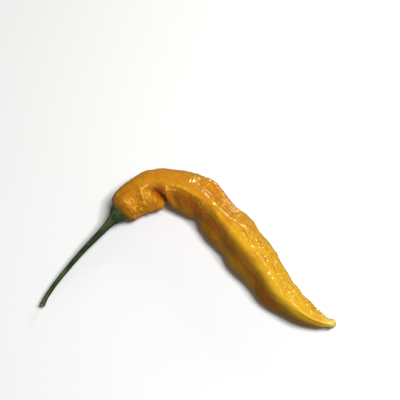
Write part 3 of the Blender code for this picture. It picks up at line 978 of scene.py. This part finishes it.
@dataclass(frozen=True)
class Stalk:
    """The calyx, a shallow cup that hugs the pod's base, and the stem that it narrows into."""

    line: Centreline = Centreline(STEM_STATIONS)
    sides: int = 20
    dome: float = 4.0
    dome_radius: float = 6.4
    dome_squareness: float = 2.2
    cup_radius: float = 3.9
    cup_edge: float = 0.35
    edge_swell: float = 0.15
    # The rings under the cup, as shares of its radius, and their gap to the pod
    under_shares: tuple[float, ...] = (0.5, 0.8, 0.97)
    under_gap: float = 0.05
    # The cup's outside, as distance down the stem from the pod and radius
    cup_profile: Line = (
        (0.1, 3.9),
        (0.9, 3.6),
        (1.7, 3.2),
        (2.5, 2.75),
        (3.4, 2.3),
        (4.6, 1.85),
        (6.4, 1.62),
    )
    stem_rings: int = 22
    # The cut end: where its rounding starts, then distances short of the end and shares of radius
    cut_start: float = 0.7
    cut_profile: Line = ((0.15, 0.98), (0.0, 0.86), (0.1, 0.6))
    # Teeth, lean and ribs: the radii between which they rise, and the distances down the stem
    # between which the first two fade and the last rise
    teeth: int = 5
    tooth: float = 0.7
    tooth_angle: float = 196.0
    tooth_radii: Pair = (2.7, 3.8)
    tooth_fade: Pair = (-0.4, 2.2)
    tooth_sharpness: float = 1.5
    lean: float = 0.9
    lean_angle: float = 200.0
    lean_radii: Pair = (1.9, 3.8)
    lean_fade: Pair = (0.2, 4.0)
    rib_share: float = 0.09
    rib_rise: Pair = (-0.5, 3.0)
    # Slow unevenness, and how slow it is down the stem
    uneven_share: float = 0.05
    uneven_pace: float = 0.16
    least_radius: float = 0.01

    def depth(self, radius: Values) -> Values:
        """How far the pod's base falls away from its pole at this radius."""
        share = np.clip(radius / self.dome_radius, 0.0, 1.0)
        return self.dome * (1.0 - (1.0 - share**self.dome_squareness) ** (1.0 / self.dome_squareness))

    def cage(self) -> Cage:
        """The straight cage: under the cup, round its rim, down the stem and over the cut end."""
        length = self.line.length()
        rings = []
        for share in self.under_shares:
            radius = self.cup_radius * share
            rings.append(Ring(-float(self.depth(radius)) - self.under_gap, radius, radius))
        rim = -float(self.depth(self.cup_radius))
        edge = self.cup_radius + self.edge_swell
        rings.append(Ring(rim + self.cup_edge, edge, edge))
        rings += [Ring(at, radius, radius) for at, radius in self.cup_profile]
        at = np.linspace(self.cup_profile[-1][0], length - self.cut_start, self.stem_rings)[1:]
        rings += [Ring(a, r, r) for a, r in zip(at.tolist(), self.line.radii(at)[0].tolist())]
        end = rings[-1].side
        rings += [Ring(length - back, end * share, end * share) for back, share in self.cut_profile]
        return Cage("green_stem", self.sides, tuple(rings))

    def build(self) -> bpy.types.Object:
        """Models the stalk and dresses it.

        Returns:
            The finished piece, which stands for the stalk's solid.
        """
        piece = self.cage().make()
        points = points_of(piece)
        down, far, high = points.T
        theta = np.arctan2(high, far)
        radius = np.hypot(far, high)
        rib = np.cos(self.teeth * (theta - math.radians(self.tooth_angle)))
        on_rim = smooth_step(radius, *self.tooth_radii) * (1.0 - smooth_step(down, *self.tooth_fade))
        tooth = self.tooth * on_rim * np.clip(rib, 0.0, 1.0) ** self.tooth_sharpness
        on_cup = smooth_step(radius, *self.lean_radii) * (1.0 - smooth_step(down, *self.lean_fade))
        lean = self.lean * on_cup * np.cos(theta - math.radians(self.lean_angle))
        wide = radius + tooth + lean
        down = down - (self.depth(wide) - self.depth(radius))
        uneven = self.uneven_share * noise_at(np.column_stack((down * self.uneven_pace, far, high)))
        wide *= 1.0 + self.rib_share * smooth_step(down, *self.rib_rise) * rib + uneven
        swollen = wide / np.maximum(radius, self.least_radius)
        points = np.column_stack((down, far * swollen, high * swollen))
        keep(piece, STRAIGHT, points)
        keep(piece, RELIEF, rib)
        lay(piece, self.line, points)
        piece.data.materials.append(StalkGreen(self.line.length()).material())
        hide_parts("stalk")
        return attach(piece, "root")


@dataclass(frozen=True)
class Lamp:
    """A soft light that faces the pepper, square unless it has its own height."""

    name: str
    azimuth: float
    elevation: float
    distance: float
    size: float
    power: float
    colour: Colour = (1.0, 1.0, 1.0)
    glossy: bool = True
    height: float = 0.0

    def build(self, target: Vector) -> bpy.types.Object:
        """Adds the light at its azimuth from +X towards +Y, and hands it back."""
        turn, rise = math.radians(self.azimuth), math.radians(self.elevation)
        away = Vector((math.cos(turn) * math.cos(rise), math.sin(turn) * math.cos(rise), math.sin(rise)))
        lamp = bpy.data.lights.new(self.name, "AREA")
        lamp.energy = self.power
        lamp.shape = "RECTANGLE"
        lamp.size = self.size * MM
        lamp.size_y = (self.height or self.size) * MM
        lamp.color = self.colour
        obj = bpy.data.objects.new(self.name, lamp)
        bpy.context.collection.objects.link(obj)
        obj.location = target + away * self.distance * MM
        obj.rotation_euler = away.to_track_quat("Z", "Y").to_euler()
        obj.visible_glossy = self.glossy
        return obj


@dataclass(frozen=True)
class Studio:
    """The pale floor, the soft lights and the camera above and in front of the pepper."""

    floor_radius: float = 1500.0
    floor_sides: int = 48
    # The ring at the floor's edge, as a share of its radius
    floor_inset: float = 0.3
    sweep_levels: int = 3
    wall_height: float = 900.0
    sky: Colour = (1.0, 0.93, 0.82)
    sky_strength: float = 0.15
    target: tuple[float, float, float] = (5.04, 20.3, 7.0)
    camera_elevation: float = 65.0
    camera_distance: float = 397.0
    lens: float = 85.0
    clip: float = 10.0
    lamps: tuple[Lamp, ...] = (
        Lamp("overhead", -12.0, 69.0, 700.0, 280.0, 4.4, (1.0, 0.985, 0.96), False),
        Lamp("spark", -10.0, 57.0, 700.0, 90.0, 1.3, (1.0, 0.98, 0.94)),
        Lamp("window", 57.0, 19.0, 700.0, 60.0, 1.25, (0.96, 1.0, 0.76), height=200.0),
        Lamp("bounce", 225.0, 6.0, 500.0, 300.0, 0.22, (1.0, 0.95, 0.85), False),
    )

    def floor(self) -> bpy.types.Object:
        """A wide round floor whose edge sweeps up into a wall."""
        bpy.ops.object.select_all(action="DESELECT")
        bpy.ops.mesh.primitive_circle_add(
            vertices=self.floor_sides, radius=self.floor_radius * MM, fill_type="NGON"
        )
        floor = bpy.context.object
        floor.name = floor.data.name = "floor"
        bpy.ops.object.mode_set(mode="EDIT")
        bpy.ops.mesh.select_all(action="SELECT")
        bpy.ops.mesh.inset(thickness=self.floor_radius * self.floor_inset * MM)
        bpy.ops.mesh.select_all(action="DESELECT")
        bpy.ops.mesh.select_non_manifold(extend=False, use_verts=False)
        rise = (0.0, 0.0, self.wall_height * MM)
        bpy.ops.mesh.extrude_region_move(TRANSFORM_OT_translate={"value": rise})
        bpy.ops.object.mode_set(mode="OBJECT")
        sweep = floor.modifiers.new("sweep", "SUBSURF")
        sweep.levels = sweep.render_levels = self.sweep_levels
        bpy.ops.object.modifier_apply(modifier=sweep.name)
        bpy.ops.object.shade_smooth()
        floor.data.materials.append(PaleFloor().material())
        floor.visible_diffuse = floor.visible_glossy = False
        return floor

    def camera(self) -> bpy.types.Object:
        """A long lens that looks down at the pepper from in front."""
        rise = math.radians(self.camera_elevation)
        back = Vector((0.0, -math.cos(rise), math.sin(rise)))
        lens = bpy.data.cameras.new("camera")
        lens.lens = self.lens
        lens.clip_start = self.clip * MM
        obj = bpy.data.objects.new("camera", lens)
        bpy.context.collection.objects.link(obj)
        obj.location = (Vector(self.target) + back * self.camera_distance) * MM
        obj.rotation_euler = back.to_track_quat("Z", "Y").to_euler()
        bpy.context.scene.camera = obj
        return obj

    def build(self) -> None:
        """Sets up the floor, the sky light, the lamps and the camera."""
        self.floor()
        world = bpy.data.worlds.new("sky")
        world.use_nodes = True
        sky = world.node_tree.nodes["Background"]
        sky.inputs["Color"].default_value = (*self.sky, 1.0)
        sky.inputs["Strength"].default_value = self.sky_strength
        bpy.context.scene.world = world
        for lamp in self.lamps:
            lamp.build(Vector(self.target) * MM)
        self.camera()
        bpy.context.scene.view_settings.view_transform = "Standard"


def main() -> None:
    """Builds the pepper and its studio in order, and reports each piece."""
    logging.basicConfig(level=logging.INFO, format="%(name)s: %(message)s")
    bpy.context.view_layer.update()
    for maker in (Pod(), Stalk()):
        piece = maker.build()
        log.info("%s: %d faces", piece.name, len(piece.data.polygons))
    Studio().build()


if __name__ == "__main__":
    main()
